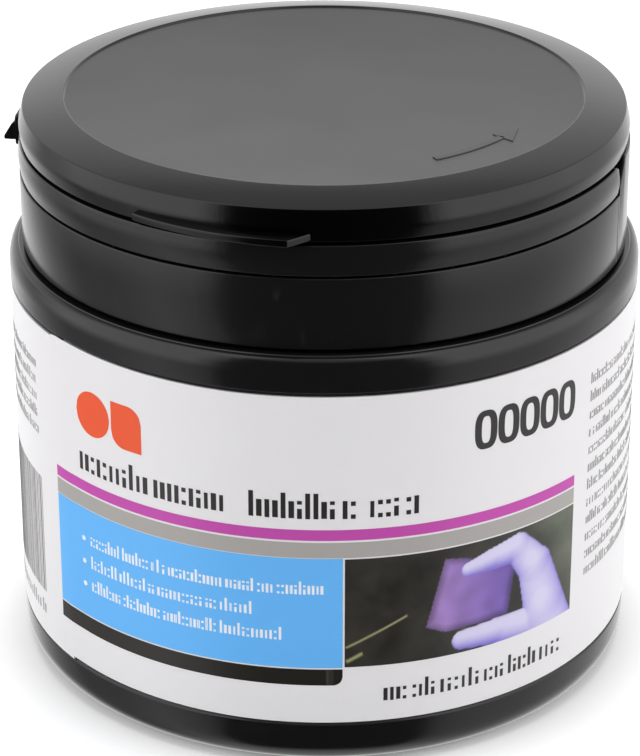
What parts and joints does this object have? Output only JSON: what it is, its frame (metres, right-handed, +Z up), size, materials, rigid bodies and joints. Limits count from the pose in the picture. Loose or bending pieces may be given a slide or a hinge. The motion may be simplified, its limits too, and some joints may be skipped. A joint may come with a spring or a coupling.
{
  "type": "clay bar in flip-top jar",
  "caption": "Wide-mouth jar with a tamper-evident flip-top closure and wrap-round label, holding a bar of paint-cleaning clay.",
  "frame": {"origin": "centre of the jar's foot, on the surface it stands on", "axes": "+Z up along the jar's axis; -Y towards the closure's front, where the thumb ledge and tear band are; +Y towards the hinge"},
  "size_m": [0.1015, 0.1001, 0.0927],
  "materials": {
    "jar_plastic": "gloss",
    "closure_plastic": "satin",
    "label_film": "satin",
    "detailing_clay": "matte"
  },
  "bodies": {
    "jar": {"jar_body": "jar_plastic", "closure_collar": "closure_plastic", "label": "label_film", "living_hinge": "closure_plastic"},
    "lid": {"lid": "closure_plastic"},
    "tear_band": {"tear_band": "closure_plastic"},
    "clay_bar": {"clay_bar": "detailing_clay"}
  },
  "joints": [
    {"name": "lid_hinge", "type": "hinge", "parent": "jar", "child": "lid", "pos_m": [0, 0.0495, 0.0864], "axis": [-1, 0, 0], "range_deg": [0, 180], "deforming": ["living_hinge"]},
    {"name": "band_pull", "type": "slide", "parent": "jar", "child": "tear_band", "axis": [0, -1, 0], "range_m": [0, 0.06]},
    {"name": "clay_lift", "type": "slide", "parent": "jar", "child": "clay_bar", "axis": [0, 0, 1], "range_m": [0, 0.05]}
  ]
}
